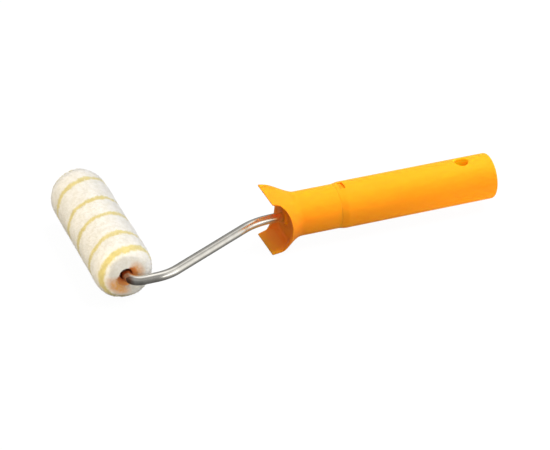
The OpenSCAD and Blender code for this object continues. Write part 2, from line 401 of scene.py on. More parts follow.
# ---------------------------------------------------------------- materials
def plastic(name, base, deep, pale, rough=(0.36, 0.50), scatter=0.6, grain=0.22, glare=0.22):
    """Moulded thermoplastic: flow mottling, a fine grain, paler convex edges, light bleeding
    through. Grain is the bump's strength and glare the specular level."""
    g = Look(name)
    place = g.mapped()
    flow = g.noise(g.mapped((0.25, 1, 1)), scale=70, detail=3)
    colour = g.mix(g.remap(flow, span=(0.35, 0.7)), base, deep)
    specks = g.noise(place, scale=1400, detail=2)
    colour = g.mix(g.remap(specks, span=(0.62, 0.8), to=(0, 0.18)), colour, pale)
    edge = g.remap(g.geometry("Pointiness"), span=(0.515, 0.58), to=(0, 0.35))
    scuff = g.noise(g.mapped((0.12, 1, 1)), scale=420, detail=4, rough=0.6)
    g.shade({"Base Color": g.mix(edge, colour, pale),
             "Roughness": g.remap(scuff, span=(0.3, 0.75), to=rough),
             "IOR": 1.49,
             "Specular IOR Level": glare,
             "Subsurface Weight": scatter,
             "Subsurface Radius": (1.0, 0.72, 0.14),
             "Subsurface Scale": 0.004})
    fine = g.noise(place, scale=5200, detail=2)
    soft = g.noise(place, scale=260, detail=2)
    fine_share = 0.35
    g.bump(g.plus(g.times(fine, fine_share), soft), strength=grain, distance=0.00012)
    return g


def plated_wire():
    """Bright plated drawn wire: draw lines along its length and faint cloudiness."""
    g = Look("plated_wire")
    stretched = g.node("Mapping", {"Vector": g.node("UVMap").outputs[0],
                                   "Scale": (0.03, 26.0, 1.0)}).outputs[0]
    lines = g.noise(stretched, scale=3.0, detail=4, rough=0.6)
    cloud = g.noise(g.mapped(), scale=160, detail=3)
    colour = g.mix(g.remap(cloud, span=(0.3, 0.75)),
                   linear(0.94, 0.925, 0.89), linear(0.87, 0.855, 0.815))
    colour = g.mix(g.remap(lines, span=(0.6, 0.85), to=(0, 0.5)), colour, linear(0.70, 0.69, 0.66))
    # handled and dusty where it enters the guard
    entry = mm(GUARD_X - 18, GUARD_X - 3)
    g.shade({"Base Color": colour,
             "Metallic": g.remap(g.place()[0], span=entry, to=(1.0, 0.90)),
             "Roughness": g.remap(g.plus(lines, cloud), span=(0.6, 1.5), to=(0.10, 0.26))})
    g.bump(lines, strength=0.25, distance=0.00003)
    # painted dark brown reflection on the elbow, where it mirrors the cap's shaded mouth
    g.tint_where(elbow_reflection_mask, (0.45, 0.22, 0.14))
    # painted orange reflection of the guard on the wire inside its mouth
    guard_reflection_span = mm(GUARD_X + 1.0, GUARD_X + 6.0)
    g.tint_where(lambda g, x, y, z: g.remap(x, span=guard_reflection_span), (1.0, 0.58, 0.26))
    return g


def steel(name, dark, light, rough):
    g = Look(name)
    blotch = g.noise(g.mapped(), scale=900, detail=4, rough=0.6)
    streak = g.noise(g.mapped((1, 0.1, 1)), scale=2700, detail=3)
    g.shade({"Base Color": g.mix(g.remap(blotch, span=(0.3, 0.7)), dark, light),
             "Metallic": 1.0,
             "Roughness": g.remap(streak, span=(0.3, 0.7), to=rough)})
    g.bump(streak, strength=0.3, distance=0.00004)
    return g


def pile_yarn():
    """Woven pile yarn: off-white and yellow by the mesh's stripe value, with painted shade between
    tufts.
    """
    white, shade = (0.835, 0.812, 0.76), (0.785, 0.762, 0.71)
    yellow, yellow_deep = (0.74, 0.635, 0.27), (0.67, 0.565, 0.21)
    g = Look("pile_yarn")
    place = g.mapped()

    def mesh_value(name):
        node = g.node("Attribute")
        node.attribute_name = name
        return node.outputs["Fac"]

    cloud = g.noise(place, scale=110, detail=3)
    fleck = g.noise(place, scale=1500, detail=3, rough=0.65)
    whites = g.mix(g.remap(cloud, span=(0.35, 0.7), to=(0, 0.7)), white, shade)
    yellows = g.mix(g.remap(cloud, span=(0.35, 0.7)), yellow, yellow_deep)
    colour = g.mix(mesh_value("stripe"), whites, yellows)
    # painted shade between tufts and at the fibre roots, from the mesh's depth value
    dark = g.mix(0.5, colour, (0.42, 0.40, 0.36), "MULTIPLY")
    colour = g.mix(g.remap(mesh_value("depth"), span=(0, 1), to=(0, 0.18)), colour, dark)
    colour = g.mix(g.remap(fleck, span=(0.55, 0.8), to=(0, 0.08)), colour, shade)
    # uneven tufts, and a shaded underside
    tufts = g.noise(place, scale=340, detail=2, rough=0.6)
    tufts = g.remap(tufts, span=(0.42, 0.62), to=(0, 0.42))
    colour = g.tint(tufts, colour, (0.80, 0.77, 0.66))
    upward = g.split(g.geometry("Normal"))[2]
    under = g.remap(upward, span=(-0.80, -0.28), to=(1.0, 0.0))
    colour = g.tint(under, colour, (0.52, 0.46, 0.37))
    # painted orange on the pile at two places round the near mouth: the cap showing through, and
    # its light bleeding into the fibres
    x, y, z = g.place()
    x = g.math("SUBTRACT", x, AXLE_X * MM)
    radius = g.hypotenuse(x, z)
    front = g.remap(y, span=mm(MID_Y - FACE + 0.5, MID_Y - FACE + 2.5), to=(1.0, 0.0))
    ragged = g.noise(place, scale=700, detail=2, rough=0.6)
    ragged = g.remap(ragged, span=(0.3, 0.7), to=(0.6, 1.0))
    # angle about the axle, outer radius in mm, strength
    for angle, reach, most in ((3.95, 14.2, 1.25), (0.35, 12.0, 1.0)):
        toward = g.plus(g.times(x, math.cos(angle)), g.times(z, math.sin(angle)))
        cosine = g.math("DIVIDE", toward, radius)
        cap_and_bleed = g.times(g.remap(cosine, span=(0.50, 0.95), to=(0.0, most)),
                       g.remap(radius, span=mm(reach, reach - 4.0)), front, ragged)
        colour = g.mix(cap_and_bleed, colour, (0.76, 0.33, 0.055))
    g.shade({"Base Color": colour,
             "Roughness": 0.95,
             "Specular IOR Level": 0.15,
             "Sheen Weight": 0.25,
             "Sheen Roughness": 0.5,
             "Subsurface Weight": 0.5,
             "Subsurface Radius": (1.0, 0.95, 0.85),
             "Subsurface Scale": 0.002})
    fibre = g.noise(place, scale=2600, detail=3, rough=0.7)
    g.bump(g.plus(fibre, fleck), strength=0.22, distance=0.0002)
    return g


LUG_AT = 4.05                              # middle of lug and window, behind the seam


def lug_shade_mask(g, x, y, z):
    """Painted shade on the tops of the two lugs."""
    from_middle = g.math("SUBTRACT", x, (GUARD_X + SEAM + LUG_AT) * MM)
    return g.times(
        g.remap(g.math("ABSOLUTE", from_middle), span=(0.0010, 0.0022), to=(1.0, 0.0)),
        g.remap(g.math("ABSOLUTE", y), span=(0.0026, 0.0042), to=(1.0, 0.0)),
        g.remap(g.math("ABSOLUTE", z), span=(0.0110, 0.0122)))


def bore_shade_mask(g, x, y, z):
    """Painted shade on the middle of the cap, round the axle."""
    radius = g.hypotenuse(g.math("SUBTRACT", x, AXLE_X * MM), z)
    return g.remap(radius, span=(0.0040, 0.0068), to=(1.0, 0.0))


def elbow_reflection_mask(g, x, y, z):
    """The elbow of the wire where it leaves the cap, with a painted dark brown reflection of the
    cap's shaded mouth.
    """
    return g.times(g.remap(y, span=mm(RUN_Y - 3.6, RUN_Y - 1.5)),
                   g.remap(x, span=mm(AXLE_X - 0.6, AXLE_X + 2.0), to=(1.0, 0.0)))


def facing(g, y, z):
    """The normal's x, and how much the surface looks away from the handle's axis."""
    normal = g.split(g.geometry("Normal"))
    return normal[0], g.plus(g.times(y, normal[1]), g.times(z, normal[2]))


def guard_inside_shade_mask(g, x, y, z):
    """Painted shade on the inside of the guard and its inner wall, deeper towards the neck."""
    normal_x, away = facing(g, y, z)
    wall = g.times(g.remap(normal_x, span=(-0.7, -0.4), to=(1.0, 0.0)),
                   g.remap(x, span=mm(GUARD_X + 7.0, GUARD_X + 9.0)))
    inner = g.math("MAXIMUM", wall, g.remap(away, span=(-0.006, -0.002), to=(1.0, 0.0)))
    return g.times(inner, g.remap(x, span=mm(GUARD_X + 0.5, GUARD_X + 9.0)))


def flare_mask(g, x, y, z):
    """The outside of the flare, shaded more the lower it lies."""
    return g.times(g.remap(facing(g, y, z)[1], span=(0.002, 0.006)),
                   g.remap(x, span=mm(GUARD_X + 10.0, GUARD_X + 26.0), to=(1.0, 0.0)),
                   g.remap(z, span=(-0.010, 0.012), to=(1.0, 0.42)))


ORANGE = {"base": (0.97, 0.305, 0.004), "deep": (0.95, 0.282, 0.003), "pale": (0.97, 0.355, 0.03)}


def handle_plastic():
    g = plastic("handle_plastic", **ORANGE)
    # painted shade on the lug tops
    g.tint_where(lug_shade_mask, (0.93, 0.74, 0.7))
    # painted shade inside the guard
    g.tint_where(guard_inside_shade_mask, (0.88, 0.68, 0.5))
    g.tint_where(flare_mask, (0.82, 0.72, 0.8))
    # painted reflection: to polished metal the guard shows paler and browner than it is
    glossy = g.node("LightPath").outputs["Is Glossy Ray"]
    g.shade({"Base Color": g.mix(glossy, g.base(), (0.92, 0.47, 0.13))})
    return g


def grip_plastic():
    """Orange with a painted glow inside the tube and the hanging hole."""
    g = plastic("grip_plastic", **ORANGE)
    x2, y2, z2 = [g.times(axis, axis) for axis in g.place()]
    from_hole = g.math("SQRT", g.plus(x2, y2))
    from_tube = g.math("SQRT", g.plus(y2, z2))
    within = g.math("MAXIMUM", g.remap(from_tube, span=(0.0123, 0.0128), to=(1.0, 0.0)),
                    g.remap(from_hole, span=(0.0044, 0.0052), to=(0.4, 0.0)))
    near = g.remap(from_hole, span=(0.003, 0.018), to=(1.0, 0.0))
    # painted glow, standing in for light coming through the plastic
    painted_glow = 0.55
    g.shade({"Emission Color": (0.55, 1.0, 0.01), "Emission Strength": g.times(within, near, painted_glow)})
    return g


HANDLE_LOOK = handle_plastic()
GRIP_LOOK = grip_plastic()
CAP_LOOK = plastic("cap_plastic", base=(0.80, 0.34, 0.10), deep=(0.74, 0.29, 0.08),
                   pale=(0.86, 0.42, 0.15), rough=(0.45, 0.60), scatter=0.15, grain=0.35)
# painted shade round the bore
CAP_LOOK.tint_where(bore_shade_mask, (0.58, 0.30, 0.20))
SPINDLE_LOOK = plastic("spindle_plastic", base=(0.80, 0.24, 0.02), deep=(0.72, 0.20, 0.015),
                       pale=(0.88, 0.34, 0.07), rough=(0.45, 0.62), scatter=0.15, grain=0.35)
CORE_LOOK = plastic("core_plastic", base=(0.56, 0.54, 0.48), deep=(0.48, 0.46, 0.41),
                    pale=(0.66, 0.65, 0.61), rough=(0.48, 0.62), scatter=0.1, grain=0.3, glare=0.4)
WIRE_LOOK = plated_wire()
NUT_LOOK = steel("spring_steel", dark=(0.12, 0.12, 0.125), light=(0.20, 0.19, 0.185),
                 rough=(0.3, 0.5))
WASHER_LOOK = steel("zinc", dark=(0.48, 0.49, 0.5), light=(0.62, 0.62, 0.61), rough=(0.3, 0.45))
NAP_LOOK = pile_yarn()


def finish_piece(ob, look, body, slot, *nodes):
    ob.data.materials.append(look.material)
    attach(ob, body)
    if nodes:
        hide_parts(*nodes)
    return ob


# ---------------------------------------------------------------- guard and neck
# places along the handle are measured from the guard's front edge
FLARE, RIM_AT = 21.5, 2                    # end of the flare, and its widest station
RIM_R, NECK_R = 23.0, 14.0
WING_H, WING_W = 18.3, 12.9                # half height at the front; half width of the cut
CUT_NEAR, CUT_FAR = 11.4, 12.8             # depth of the cut on the -Y and +Y sides
WALL, EDGE = 2.2, 1.0                      # wall thickness, and that of the front edge
FLAT_END = 20.5                            # end of the flattened top and bottom
INNER_AT, INNER_T = 13.0, 2.2              # wall across the neck
SPIGOT_R, SPIGOT_END = 12.1, 74.0          # the part pushed into the grip
BOSS_R, BOSS_START, BOSS_END = 5.5, 11.0, 69.5
WEB_HALF, WEB_R, WEB_END = 0.9, 11.0, 64
LUG_HALF_X, LUG_HALF_Y, LUG_FROM_Z = 1.63, 3.73, 10.5
LUG_RISE = 1.90                            # above the spigot


def flare_radius(along):
    rim = RIM_R - 0.5 * np.clip((RIM_AT - along) / RIM_AT, 0, 4) ** 2
    fall = (1 + np.cos(np.pi * np.clip((along - RIM_AT) / (FLARE - RIM_AT), 0, 1))) / 2
    return np.where(along < RIM_AT, rim, NECK_R + (RIM_R - NECK_R) * fall)


def guard_field(x, y, z):
    along = x - GUARD_X
    radius = np.sqrt(y * y + z * z)
    # flare, flattened above and below
    step = 0.05
    slope = (flare_radius(along + step) - flare_radius(along - step)) / (2 * step)
    cone = (radius - flare_radius(along)) / np.sqrt(1 + slope * slope)
    fall = (WING_H - NECK_R - 0.3) / FLARE
    flats = (np.abs(z) - (WING_H - fall * along)) / math.sqrt(1 + fall * fall)
    blend = 2.2 * smoothstep((FLAT_END - along) / 5) * smoothstep((along + 1) / 9) + 0.25
    outer = np.where(along < FLAT_END, meet(cone, flats, blend), cone)
    body = meet(outer, along - SEAM, 0.18)
    body = join(body, meet(radius - SPIGOT_R, along - SPIGOT_END, 0.8), 0.8 * 0 + 0.8) \
        if False else join(body, meet_spigot(radius, along), 0.0)
    return body


def meet_spigot(radius, along):
    return np.maximum(radius - SPIGOT_R, along - SPIGOT_END)


def guard_field(x, y, z):
    along = x - GUARD_X
    radius = np.sqrt(y * y + z * z)
    # flare, flattened above and below
    step = 0.05
    slope = (flare_radius(along + step) - flare_radius(along - step)) / (2 * step)
    cone = (radius - flare_radius(along)) / np.sqrt(1 + slope * slope)
    fall = (WING_H - NECK_R - 0.3) / FLARE
    flats = (np.abs(z) - (WING_H - fall * along)) / math.sqrt(1 + fall * fall)
    blend = 2.2 * smoothstep((FLAT_END - along) / 5) * smoothstep((along + 1) / 9) + 0.25
    outer = np.where(along < FLAT_END, meet(cone, flats, blend), cone)
    body = meet(outer, along - SEAM, 0.18)
    spigot = meet(radius - SPIGOT_R, along - SPIGOT_END, 0.8)
    body = np.minimum(body, spigot)
    # open mouth, and the hollow behind the inner wall
    thinning = (WALL - EDGE) * np.clip(1 - along / 9, 0, 1.2)
    body = np.maximum(body, -meet(outer + WALL - thinning, along - INNER_AT, 1.6))
    body = np.maximum(body, -meet(radius - (SPIGOT_R - 2), INNER_AT + INNER_T - along, 1.0))
    body = meet(body, -along, 0.3)
    # elliptical cut into each side of the front edge
    deep = np.where(y > 0, CUT_FAR, CUT_NEAR)
    oval = np.sqrt((along / deep) ** 2 + (z / WING_H) ** 2) + 1e-6
    oval_slope = np.sqrt((along / deep ** 2) ** 2 + (z / WING_H ** 2) ** 2) + 1e-6
    body = cut(body, meet(oval * (oval - 1) / oval_slope, WING_W - np.abs(y), 1.0), 0.42)
    # boss round the wire, held by crossed webs
    boss = meet(meet(radius - BOSS_R, BOSS_START - along, 0.9), along - BOSS_END, 0.3)
    body = join(body, boss, 0.9)
    for sign in (1, -1):
        web = np.abs(y + z * sign) / math.sqrt(2) - WEB_HALF
        ends = np.maximum(INNER_AT + 1 - along, along - WEB_END)
        body = join(body, np.maximum(np.maximum(web, radius - WEB_R), ends), 0.5)
    # lugs above and below, sloping towards the rear
    crown = radius - (SPIGOT_R + LUG_RISE) - 0.3 * np.minimum(0, SEAM + 4.0 - along)
    lug = meet(np.abs(y) - LUG_HALF_Y, np.abs(along - SEAM - LUG_AT) - LUG_HALF_X, 0.6)
    lug = np.maximum(meet(lug, crown, 0.3), LUG_FROM_Z - np.abs(z))
    body = join(body, lug, 0.15)
    return cut(body, radius - (WIRE_R + 0.03), 0.35)


def build_guard():
    xs = GUARD_X + spans((-0.9, 15.6, 0.36), (15.6, 44.5, 0.75), (44.5, 52.0, 0.3),
                         (52.0, 75.0, 1.0))
    ys = spans((-23.6, 23.6, 0.42))
    zs = spans((-19.2, 19.2, 0.42))
    ob = surface_net("guard_collar_moulding", guard_field, xs, ys, zs)
    return finish_piece(ob, HANDLE_LOOK, "frame", "handle", "guard_collar")


# ---------------------------------------------------------------- rear grip
GRIP_R, SOCKET_R, SEAT_R = 14.7, 12.4, 12.2
HOLE_R = 4.5
WINDOW_HALF_X, WINDOW_HALF_Y, WINDOW_CORNER = 1.7, 3.8, 0.7


def grip_field(x, y, z):
    along = x - GUARD_X
    radius = np.sqrt(y * y + z * z)
    swell = 1 - smoothstep((along - SEAM) / 5.0)
    body = meet(radius - (GRIP_R - (GRIP_R - NECK_R - 0.04) * swell), along - BUTT, 1.3)
    body = meet(body, SEAM - along, 0.18)
    widening = smoothstep((along - SPIGOT_END) / 1.0)
    body = cut(body, radius - (SEAT_R + (SOCKET_R - SEAT_R) * widening), 0.9)
    body = cut(body, np.sqrt(x * x + y * y) - HOLE_R, 0.9)
    # windows above and below for the lugs
    over_x = np.abs(along - (SEAM + LUG_AT)) - (WINDOW_HALF_X - WINDOW_CORNER)
    over_y = np.abs(y) - (WINDOW_HALF_Y - WINDOW_CORNER)
    window = np.sqrt(np.maximum(over_x, 0) ** 2 + np.maximum(over_y, 0) ** 2)
    window = window + np.minimum(np.maximum(over_x, over_y), 0) - WINDOW_CORNER
    return cut(body, np.maximum(window, 8 - np.abs(z)), 0.3)


def build_grip():
    hole = -GUARD_X                        # the hanging hole is the origin
    xs = GUARD_X + spans((SEAM - 0.6, SEAM + 7.5, 0.3), (SEAM + 7.5, hole - 7, 1.15),
                         (hole - 7, hole + 7, 0.4), (hole + 7, 149.5, 1.0),
                         (149.5, BUTT + 0.8, 0.33))
    across = spans((-15.3, 15.3, 0.42))
    ob = surface_net("grip_moulding", grip_field, xs, across, across)
    return finish_piece(ob, GRIP_LOOK, "frame", "handle", "grip_tube")


# ---------------------------------------------------------------- wire
ELBOW_R, CRANK_R1, CRANK_R2 = 7.0, 30.0, 43.0
RUN, CRANK_ANGLE = 8.6, math.radians(28.7)
CRANK = (-RUN_Y - (CRANK_R1 + CRANK_R2) * (1 - math.cos(CRANK_ANGLE))) / math.sin(CRANK_ANGLE)
AXLE_END = HALF - 0.6
ELBOW_START = AXLE_END - (RUN_Y + ELBOW_R - MID_Y)   # length of the axle part
TAIL, KEY_AT = 68.0, 58                    # wire's end and its flattened key, from the guard
# distance from the end, radius: a point, a flat and a chamfer
WIRE_TIP = np.array([(0.0, 0.0), (0.0, 1.9), (0.02, 2.25), (0.12, 2.5), (0.55, 2.93), (0.8, 3.0)])


def wire_path():
    """Centre line and unit tangents in the XY plane, from the free end to the tail."""
    points, tangents = [], []
    place = np.array([AXLE_X, MID_Y + AXLE_END])
    heading = np.array([0.0, -1.0])

    def straight(length, step):
        nonlocal place
        pieces = max(1, math.ceil(length / step))
        for i in range(pieces):
            points.append(place + heading * length * i / pieces)
            tangents.append(heading.copy())
        place = place + heading * length

    def bend(radius, angle, step):
        nonlocal place, heading
        left = np.array([-heading[1], heading[0]])
        centre = place + left * math.copysign(radius, angle)
        spoke, first_heading = place - centre, heading
        pieces = math.ceil(abs(angle) * radius / step)
        for i in range(pieces + 1):
            cosine, sine = math.cos(angle * i / pieces), math.sin(angle * i / pieces)
            turn = np.array([[cosine, -sine], [sine, cosine]])
            place, heading = centre + turn @ spoke, turn @ first_heading
            if i < pieces:
                points.append(place)
                tangents.append(heading)

    straight(ELBOW_START, step=1.2)
    bend(ELBOW_R, math.pi / 2, step=0.55)
    straight(RUN, step=1.2)
    bend(CRANK_R1, CRANK_ANGLE, step=0.8)
    straight(CRANK, step=1.5)
    bend(CRANK_R2, -CRANK_ANGLE, step=0.8)
    straight(GUARD_X + TAIL - place[0], step=1.2)
    points.append(place)
    tangents.append(heading)
    return np.array(points), np.array(tangents)


def build_wire():
    points, tangents = wire_path()
    arc = np.concatenate([[0], np.cumsum(np.linalg.norm(np.diff(points, axis=0), axis=1))])
    total = arc[-1]
    segments = 44
    inner = arc[(arc > 1.2) & (arc < total - 1.2)]
    at = np.concatenate([WIRE_TIP[:, 0], inner, total - WIRE_TIP[::-1, 0]])
    radius = np.concatenate([WIRE_TIP[:, 1], np.full(len(inner), WIRE_R), WIRE_TIP[::-1, 1]])
    x, y = np.interp(at, arc, points[:, 0]), np.interp(at, arc, points[:, 1])
    ahead_x, ahead_y = np.interp(at, arc, tangents[:, 0]), np.interp(at, arc, tangents[:, 1])
    length = np.hypot(ahead_x, ahead_y)
    ahead_x, ahead_y = ahead_x / length, ahead_y / length
    # pinched ears near the roller's near end, and the flattened key in the handle
    ear_at = AXLE_END - (-FACE + 8 - 2 + 0.85)
    ear = smoothstep(1 - np.abs(at - ear_at) / 1.3)
    key = smoothstep((5.2 - np.abs(at - (total - (TAIL - KEY_AT)))) / 2.0)
    wide = radius + 0.45 * ear + 1.15 * key
    flat = radius - 1.4 * ear - 1.25 * key
    # the elbow is drawn in a touch on one side, and the rest wavers slightly in height
    elbow = np.exp(-((at - (ELBOW_START + ELBOW_R * math.pi / 4)) / 5.0) ** 2)
    waver = 0.02 * np.sin(at * 0.21) + 0.015 * np.sin(at * 0.093 + 1)
    waver = waver * 0.6 * smoothstep((at - ELBOW_START - 10) / 20)
    waver = waver * smoothstep((total - 66 - at) / 15)
    x, y, ahead_x, ahead_y, wide, flat, elbow, waver = (
        values[:, None] for values in (x, y, ahead_x, ahead_y, wide, flat, elbow, waver))
    turn = np.arange(segments) * 2 * math.pi / segments
    cosine, sine = np.cos(turn), np.sin(turn)
    sideways = (wide - 0.10 * elbow * (cosine < 0) * (cosine * cosine)) * cosine
    height = (flat + 0.06 * elbow) * sine + waver
    rings = np.stack([x - ahead_y * sideways, y + ahead_x * sideways, height], -1)

    # the first and last rings are single points
    verts = np.concatenate([rings[:1, 0], rings[1:-1].reshape(-1, 3), rings[-1:, 0]])
    quads = grid_quads(len(at) - 2, segments, closed=(False, True)) + 1
    j = np.arange(segments)
    next_j = (j + 1) % segments
    last = len(verts) - 1
    last_ring = last - segments
    start_cap = np.stack([0 * j, 1 + next_j, 1 + j], 1)
    end_cap = np.stack([0 * j + last, last_ring + j, last_ring + next_j], 1)
    ob = new_mesh("bent_wire", verts, [quads, start_cap, end_cap])
    # length along the wire, and turn round it mirrored so that there is no seam
    mirrored = np.tile(np.abs(j / segments * 2 - 1), len(at) - 2)
    uv = np.stack([np.concatenate([at[:1], np.repeat(at[1:-1], segments), at[-1:]]),
                   np.concatenate([[1], mirrored, [1]])], 1)
    mesh = ob.data
    layer = mesh.uv_layers.new(name="UVMap")
    corner = np.empty(len(mesh.loops), np.int32)
    mesh.loops.foreach_get("vertex_index", corner)
    layer.data.foreach_set("uv", uv[corner].astype(np.float32).ravel())
    return finish_piece(ob, WIRE_LOOK, "frame", "wire", "frame_wire")


# ---------------------------------------------------------------- parts on the axle
# shift is measured along +Y from the roller's middle
CAP_RIM_R, BARREL_R, PLUG_R, BORE_R = 8.25, 7.4, 5.2, 3.05
BARREL_END, PLUG_END = 12, 21              # inwards from the core's end face
SPINDLE_R, RIB_R = 6.4, 7.3
NUT_R = 6.25


def axle_coords(x, y, z):
    """Radius about the axle, shift and x from the axle."""
    across = x - AXLE_X
    return np.sqrt(across * across + z * z), y - MID_Y, across


def spokes(across, z, count, start=0.0):
    """Outward and sideways distances from each of count directions round the axle."""
    for i in range(count):
        angle = start + i * 2 * math.pi / count
        cosine, sine = math.cos(angle), math.sin(angle)
        yield across * cosine + z * sine, -across * sine + z * cosine


def cut_pockets(body, across, z, from_middle):
    for outward, sideways in spokes(across, z, 6):
        pocket = np.maximum(np.abs(sideways) - 1, 5.8 - outward)
        body = cut(body, np.maximum(pocket, np.abs(from_middle) - 2.5), 0.2)
    return body


def near_cap_field(x, y, z):
    radius, shift, across = axle_coords(x, y, z)
    body = meet(meet(radius - CAP_RIM_R, -FACE - shift, 0.45), shift - (-FACE + 1.5), 0.2)
    buried = -FACE + 0.5 - shift
    barrel = meet(radius - BARREL_R, shift - (-FACE + BARREL_END), 0.4)
    body = join(body, np.maximum(barrel, buried), 0.3)
    plug = meet(radius - PLUG_R, shift - (-FACE + PLUG_END), 0.6)
    body = join(body, np.maximum(plug, buried), 0.2)
    # dished face, so that the ring reads as a moulding
    dish = np.maximum(-FACE + 0.28 - shift, radius - 7.3)
    dish = np.maximum(dish, 4.7 - radius)
    # the dish is open towards -Y
    body = cut(body, dish, 0.12)
    body = cut(body, meet(radius - 3.8, shift - (-FACE + 8), 0.3), 0.5)
    body = cut(body, radius - BORE_R, 0.2)
    return cut_pockets(body, across, z, shift - (-FACE + 6.5))


def far_cap_field(x, y, z):
    radius, shift, across = axle_coords(x, y, z)
    top = FACE - 1.4
    body = meet(radius - BARREL_R, shift - top, 1.0)
    body = meet(body, (FACE - BARREL_END) - shift, 0.4)
    plug = meet(radius - PLUG_R, (FACE - PLUG_END) - shift, 0.6)
    body = join(body, np.maximum(plug, shift - (top - 0.5)), 0.2)
    groove = meet(np.maximum(radius - 6.9, 6.0 - radius), (top - 0.5) - shift, 0.1)
    body = cut(body, groove, 0.1)
    body = cut(body, radius - BORE_R, 0.3)
    return cut_pockets(body, across, z, shift - (FACE - 7.5))


def spindle_field(x, y, z):
    radius, shift, across = axle_coords(x, y, z)
    end = FACE - BARREL_END
    body = meet(radius - SPINDLE_R, np.abs(shift) - (end - 0.05), 0.5)
    # four ribs, lower towards the far end
    top = RIB_R - 1.45 * smoothstep((shift - (end - 5)) / 4.0)
    for outward, sideways in spokes(across, z, 4):
        rib = meet(np.abs(sideways) - 1.1, outward - top, 0.3)
        rib = meet(rib, -(shift + end - 1), 0.3)
        rib = np.maximum(np.maximum(rib, shift - (end - 1)), 5.6 - outward)
        body = join(body, rib, 0.4)
    return cut(body, radius - PLUG_R, 0.3)


def nut_field(x, y, z):
    """Thin sheet: a flat ring with a slit, dished middle and a turned-up rim."""
    radius, shift, across = axle_coords(x, y, z)
    dished = 0.5 * smoothstep((4.4 - radius) / 1.5)
    sheet = FACE + 0.05 + dished + 0.4 * smoothstep((radius - 5.7) / 0.5)
    body = meet(np.abs(shift - sheet) - 0.24, radius - NUT_R, 0.1)
    for outward, sideways in spokes(across, z, 6, start=math.pi / 6):
        slit = np.maximum(np.abs(sideways) - 0.32, np.maximum(-outward, outward - 4.3))
        body = cut(body, slit, 0.08)
    return cut(body, radius - 3.02, 0.06)


def axle_piece(name, field, half_width, step, *shifts):
    """A surface net on a grid square about the axle, with spans of shift along it."""
    across = spans((-half_width, half_width, step))
    return surface_net(name, field, AXLE_X + across, MID_Y + spans(*shifts), across)


def build_axle_parts():
    """Returns the near cap, which is lit with the pile."""
    near_cap = axle_piece("near_cap_moulding", near_cap_field, 8.7, 0.25,
                          (-FACE - 0.4, -FACE + 2.2, 0.16), (-FACE + 2.2, -FACE + 21.6, 0.4))
    finish_piece(near_cap, CAP_LOOK, "spinner", "caps", "near_end_cap")
    ob = axle_piece("far_cap_moulding", far_cap_field, 7.9, 0.25,
                    (FACE - 21.6, FACE - 3.6, 0.4), (FACE - 3.6, FACE - 1.0, 0.16))
    finish_piece(ob, CAP_LOOK, "spinner", "caps", "far_end_cap")
    ob = axle_piece("spindle_moulding", spindle_field, 7.8, 0.26,
                    (-FACE + 11.5, -FACE + 14.5, 0.3), (-FACE + 14.5, FACE - 18.5, 1.5),
                    (FACE - 18.5, FACE - 11.5, 0.4))
    finish_piece(ob, SPINDLE_LOOK, "spinner", "spindle", "spindle")
    ob = axle_piece("push_nut_plate", nut_field, 6.7, 0.12, (FACE - 0.5, FACE + 1.2, 0.09))
    finish_piece(ob, NUT_LOOK, "frame", "spring_steel", "push_nut")
    ob = lathed_ring("thrust_washer_ring", radii=(3.12, 5.58), shifts=(FACE - 1.34, FACE - 0.36),
                     fillet=0.15, segments=72)
    finish_piece(ob, WASHER_LOOK, "frame", "washer", "thrust_washer")
    ob = lathed_ring("core_tube", radii=(7.5, 8.5), shifts=(-FACE + 1.56, FACE),
                     fillet=0.25, segments=96)
    finish_piece(ob, CORE_LOOK, "refill", "core", "sleeve_core")
    return near_cap


# ---------------------------------------------------------------- nap
def cell_random(cell, salt):
    """Three repeatable numbers in 0..1 for each whole-number cell."""
    i, j, k = cell.T
    columns = []
    for c in range(3):
        code = (i * 73856093) ^ (j * 19349663) ^ (k * 83492791) ^ ((salt * 3 + c + 1) * 2654435761)
        code = (code ^ (code >> 13)) * 1274126177
        code = code & 0x7FFFFFFF
        code = (code ^ (code >> 16)) & 0x7FFFFFFF
        columns.append((code % 65536) / 65535.0)
    return np.stack(columns, 1)


def tuft_cells(points, size, salt):
    """Distances, in cells, to the nearest and second nearest of one random point per cell,
    and the nearest one's own number."""
    scaled = points / size
    base = np.floor(scaled).astype(np.int64)
    nearest = np.full(len(points), 9.0)
    second = np.full(len(points), 9.0)
    own = np.zeros(len(points))
    for offset in product((-1, 0, 1), repeat=3):
        cell = base + np.array(offset)
        random = cell_random(cell, salt)
        distance = np.sqrt(((cell + random - scaled) ** 2).sum(1))
        nearer = distance < nearest
        second = np.where(nearer, nearest, np.minimum(second, distance))
        own = np.where(nearer, random[:, 0], own)
        nearest = np.where(nearer, distance, nearest)
    return nearest, second, own


def value_noise(points, size, salt):
    """Smooth noise in -1..1."""
    scaled = points / size
    base = np.floor(scaled).astype(np.int64)
    part = scaled - base
    part = part * part * (3 - 2 * part)
    total = 0
    for corner in CORNERS:
        weight = np.where(corner, part, 1 - part)
        weight = weight[:, 0] * weight[:, 1] * weight[:, 2]
        total = total + cell_random(base + np.array(corner), salt)[:, 0] * weight
    return total * 2 - 1


NAP_IN = 8.55
MOUTH_R = NAP_IN + 2.4                     # where the rounded shoulder begins
NAP_OUT = NAP_R - 1.10                     # mean surface of the pile tips
SHOULDER = 10.0                            # length of the rounded shoulder along the axle


